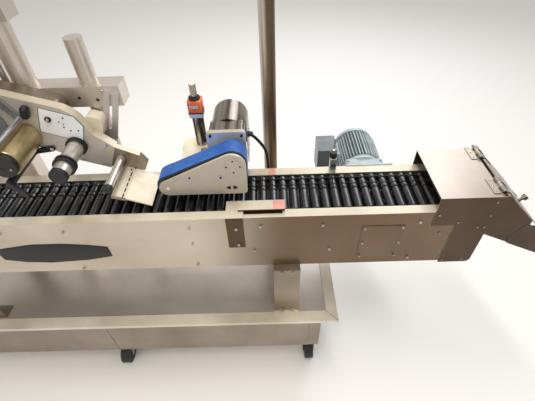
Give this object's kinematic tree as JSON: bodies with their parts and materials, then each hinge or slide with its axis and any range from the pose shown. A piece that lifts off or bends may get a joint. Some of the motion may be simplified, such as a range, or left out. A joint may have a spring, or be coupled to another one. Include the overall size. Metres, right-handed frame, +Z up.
{
  "type": "bottle labelling machine",
  "caption": "Floor-standing wrap-round labelling machine: wheeled steel cabinet with table, roller chain conveyor for lying bottles, tilted label head, press belt and outfeed chute.",
  "frame": {"origin": "on the floor under the middle of the whole machine", "axes": "+X along the conveyor towards the outfeed chute, +Y to the rear, +Z up"},
  "size_m": [1.95, 0.6, 1.5103],
  "materials": {
    "stainless": "brushed stainless sheet",
    "zinc_steel": "ground steel",
    "black_plastic": "black plastic",
    "black_paint": "black paint on a casting",
    "blue_grey_paint": "blue-grey paint on aluminium",
    "blue_belt": "blue belt surface",
    "anodised": "clear anodised aluminium",
    "cream_paint": "cream paint",
    "orange_plastic": "orange plastic",
    "brass_drum": "knurled brass-coloured sleeve",
    "grey_plastic": "grey plastic",
    "red_plastic": "red plastic",
    "black_rubber": "black cable jacket",
    "caster_black": "black nylon wheels and painted forks"
  },
  "bodies": {
    "base": {"cabinet_shell": "stainless", "cabinet_panels": "stainless", "table_top": "stainless", "caster_plates": "zinc_steel", "conveyor_front_side": "stainless", "conveyor_rear_side": "stainless", "roller_track": "black_plastic", "conveyor_legs": "stainless", "shaft_bearings": "zinc_steel", "outfeed_hood": "stainless", "outfeed_chute": "stainless", "chain_gearbox": "black_paint", "chain_motor": "blue_grey_paint", "height_column": "zinc_steel", "position_indicator": "orange_plastic", "operator_pole": "stainless", "head_plate": "stainless", "head_housing": "stainless", "head_motor": "black_plastic", "peel_arm": "anodised", "peel_plate": "cream_paint", "head_hanger": "cream_paint", "head_stand": "stainless", "motor_lead": "black_rubber", "bottle_stop": "stainless"},
    "fork_front_left": {"caster_fork_front_left": "caster_black"},
    "wheel_front_left": {"caster_wheel_front_left": "caster_black"},
    "fork_front_right": {"caster_fork_front_right": "caster_black"},
    "wheel_front_right": {"caster_wheel_front_right": "caster_black"},
    "fork_rear_left": {"caster_fork_rear_left": "caster_black"},
    "wheel_rear_left": {"caster_wheel_rear_left": "caster_black"},
    "fork_rear_right": {"caster_fork_rear_right": "caster_black"},
    "wheel_rear_right": {"caster_wheel_rear_right": "caster_black"},
    "wheel_front_middle": {"caster_wheel_front_middle": "caster_black"},
    "wheel_rear_middle": {"caster_wheel_rear_middle": "caster_black"},
    "top_chain": {"top_chain": "black_plastic"},
    "return_chain": {"return_chain": "black_plastic"},
    "head_wheels": {"head_wheels": "zinc_steel"},
    "drive_wheels": {"drive_wheels": "zinc_steel"},
    "tail_wheels": {"tail_wheels": "zinc_steel"},
    "lid": {"outfeed_lid": "stainless"},
    "press_unit": {"press_frame": "stainless", "press_belt": "blue_belt", "press_gearmotor": "anodised", "press_motor_cover": "stainless", "slide_block": "cream_paint"},
    "press_drive": {"press_drive_roller": "black_plastic"},
    "press_nose": {"press_nose_roller": "black_plastic"},
    "press_low": {"press_low_roller": "black_plastic"},
    "height_knob": {"height_knob": "anodised"},
    "operator_box": {"operator_box": "stainless"},
    "emergency_stop": {"emergency_stop": "red_plastic"},
    "knurled_drum": {"knurled_drum": "brass_drum"},
    "ringed_roller": {"ringed_roller": "anodised"},
    "plain_roller": {"plain_roller": "anodised"},
    "rewind_reel": {"rewind_reel": "grey_plastic"},
    "unwind_reel": {"unwind_reel": "grey_plastic"},
    "nip_arm": {"nip_arm": "black_plastic"},
    "dancer_arm": {"dancer_arm": "zinc_steel"},
    "head_knob": {"head_knob": "black_plastic"}
  },
  "joints": [
    {"name": "swivel_front_left", "type": "hinge", "parent": "base", "child": "fork_front_left", "pos_m": [-0.907, -0.21, 0.095], "axis": [0, 0, 1], "continuous": true},
    {"name": "roll_front_left", "type": "hinge", "parent": "fork_front_left", "child": "wheel_front_left", "pos_m": [-0.907, -0.235, 0.0375], "axis": [1, 0, 0], "continuous": true},
    {"name": "swivel_front_right", "type": "hinge", "parent": "base", "child": "fork_front_right", "pos_m": [0.385, -0.21, 0.095], "axis": [0, 0, 1], "continuous": true},
    {"name": "roll_front_right", "type": "hinge", "parent": "fork_front_right", "child": "wheel_front_right", "pos_m": [0.385, -0.235, 0.0375], "axis": [1, 0, 0], "continuous": true},
    {"name": "swivel_rear_left", "type": "hinge", "parent": "base", "child": "fork_rear_left", "pos_m": [-0.907, 0.21, 0.095], "axis": [0, 0, 1], "continuous": true},
    {"name": "roll_rear_left", "type": "hinge", "parent": "fork_rear_left", "child": "wheel_rear_left", "pos_m": [-0.907, 0.235, 0.0375], "axis": [1, 0, 0], "continuous": true},
    {"name": "swivel_rear_right", "type": "hinge", "parent": "base", "child": "fork_rear_right", "pos_m": [0.385, 0.21, 0.095], "axis": [0, 0, 1], "continuous": true},
    {"name": "roll_rear_right", "type": "hinge", "parent": "fork_rear_right", "child": "wheel_rear_right", "pos_m": [0.385, 0.235, 0.0375], "axis": [1, 0, 0], "continuous": true},
    {"name": "roll_front_middle", "type": "hinge", "parent": "base", "child": "wheel_front_middle", "pos_m": [-0.261, -0.235, 0.0375], "axis": [1, 0, 0], "continuous": true},
    {"name": "roll_rear_middle", "type": "hinge", "parent": "base", "child": "wheel_rear_middle", "pos_m": [-0.261, 0.235, 0.0375], "axis": [1, 0, 0], "continuous": true},
    {"name": "top_run", "type": "slide", "parent": "base", "child": "top_chain", "axis": [1, 0, 0], "range_m": [0, 0.0254]},
    {"name": "return_run", "type": "slide", "parent": "base", "child": "return_chain", "axis": [-1, 0, 0], "range_m": [0, 0.0254]},
    {"name": "head_turn", "type": "hinge", "parent": "base", "child": "head_wheels", "pos_m": [0.706, -0.1515, 0.65393], "axis": [0, 1, 0], "range_deg": [0, 25.72]},
    {"name": "drive_turn", "type": "hinge", "parent": "base", "child": "drive_wheels", "pos_m": [0.5282, -0.1515, 0.65393], "axis": [0, 1, 0], "range_deg": [0, 25.72]},
    {"name": "tail_turn", "type": "hinge", "parent": "base", "child": "tail_wheels", "pos_m": [-0.6656, -0.1515, 0.65393], "axis": [0, 1, 0], "range_deg": [0, 25.72]},
    {"name": "lid_hinge", "type": "hinge", "parent": "base", "child": "lid", "pos_m": [0.786, -0.1515, 0.7716], "axis": [0, -1, 0], "range_deg": [0, 120]},
    {"name": "press_height", "type": "slide", "parent": "base", "child": "press_unit", "axis": [0, 0, 1], "range_m": [-0.008, 0.025]},
    {"name": "press_drive_turn", "type": "hinge", "parent": "press_unit", "child": "press_drive", "pos_m": [0.184, -0.15, 0.827], "axis": [0, 1, 0], "continuous": true},
    {"name": "press_nose_turn", "type": "hinge", "parent": "press_unit", "child": "press_nose", "pos_m": [0.03, -0.15, 0.767], "axis": [0, 1, 0], "continuous": true},
    {"name": "press_low_turn", "type": "hinge", "parent": "press_unit", "child": "press_low", "pos_m": [0.188, -0.15, 0.767], "axis": [0, 1, 0], "continuous": true},
    {"name": "height_knob_turn", "type": "hinge", "parent": "base", "child": "height_knob", "pos_m": [0.098, -0.038, 0.93], "axis": [0, 0, 1], "range_deg": [-720.5, 2250.5]},
    {"name": "box_swivel", "type": "hinge", "parent": "base", "child": "operator_box", "pos_m": [0.271, 0.055, 1.29], "axis": [0, 0, 1], "range_deg": [-60, 60]},
    {"name": "emergency_stop_push", "type": "slide", "parent": "operator_box", "child": "emergency_stop", "axis": [0, 0.9781, -0.2079], "range_m": [0, 0.006], "stiffness_N_per_m": 600},
    {"name": "drum_turn", "type": "hinge", "parent": "base", "child": "knurled_drum", "pos_m": [-0.29332, -0.15, 0.86649], "axis": [0, 1, 0], "continuous": true},
    {"name": "ringed_roller_turn", "type": "hinge", "parent": "base", "child": "ringed_roller", "pos_m": [-0.18904, -0.15, 0.83471], "axis": [0, 1, 0], "continuous": true},
    {"name": "plain_roller_turn", "type": "hinge", "parent": "base", "child": "plain_roller", "pos_m": [-0.09591, -0.15, 0.79288], "axis": [0, 1, 0], "continuous": true},
    {"name": "rewind_turn", "type": "hinge", "parent": "base", "child": "rewind_reel", "pos_m": [-0.40234, -0.15, 0.89665], "axis": [0, 1, 0], "continuous": true},
    {"name": "unwind_turn", "type": "hinge", "parent": "base", "child": "unwind_reel", "pos_m": [-0.47, -0.15, 1.116], "axis": [0, 1, 0], "continuous": true},
    {"name": "nip_hinge", "type": "hinge", "parent": "base", "child": "nip_arm", "pos_m": [-0.24972, -0.095, 0.82918], "axis": [0, -1, 0], "range_deg": [0, 30]},
    {"name": "dancer_hinge", "type": "hinge", "parent": "base", "child": "dancer_arm", "pos_m": [-0.31171, -0.095, 0.95552], "axis": [0, -1, 0], "range_deg": [0, 30]},
    {"name": "head_knob_turn", "type": "hinge", "parent": "base", "child": "head_knob", "pos_m": [-0.22754, -0.094, 0.90715], "axis": [0, -1, 0], "range_deg": [-135, 135]}
  ],
  "couplings": [
    {"joint": "return_run", "follows": "top_run", "ratio": 1},
    {"joint": "head_turn", "follows": "top_run", "rad_per_m": 17.669},
    {"joint": "drive_turn", "follows": "top_run", "rad_per_m": 17.669},
    {"joint": "tail_turn", "follows": "top_run", "rad_per_m": 17.669},
    {"joint": "press_nose_turn", "follows": "press_drive_turn", "ratio": 1.3043},
    {"joint": "press_low_turn", "follows": "press_drive_turn", "ratio": 1.3043},
    {"joint": "height_knob_turn", "follows": "press_height", "rad_per_m": 1570.8}
  ]
}
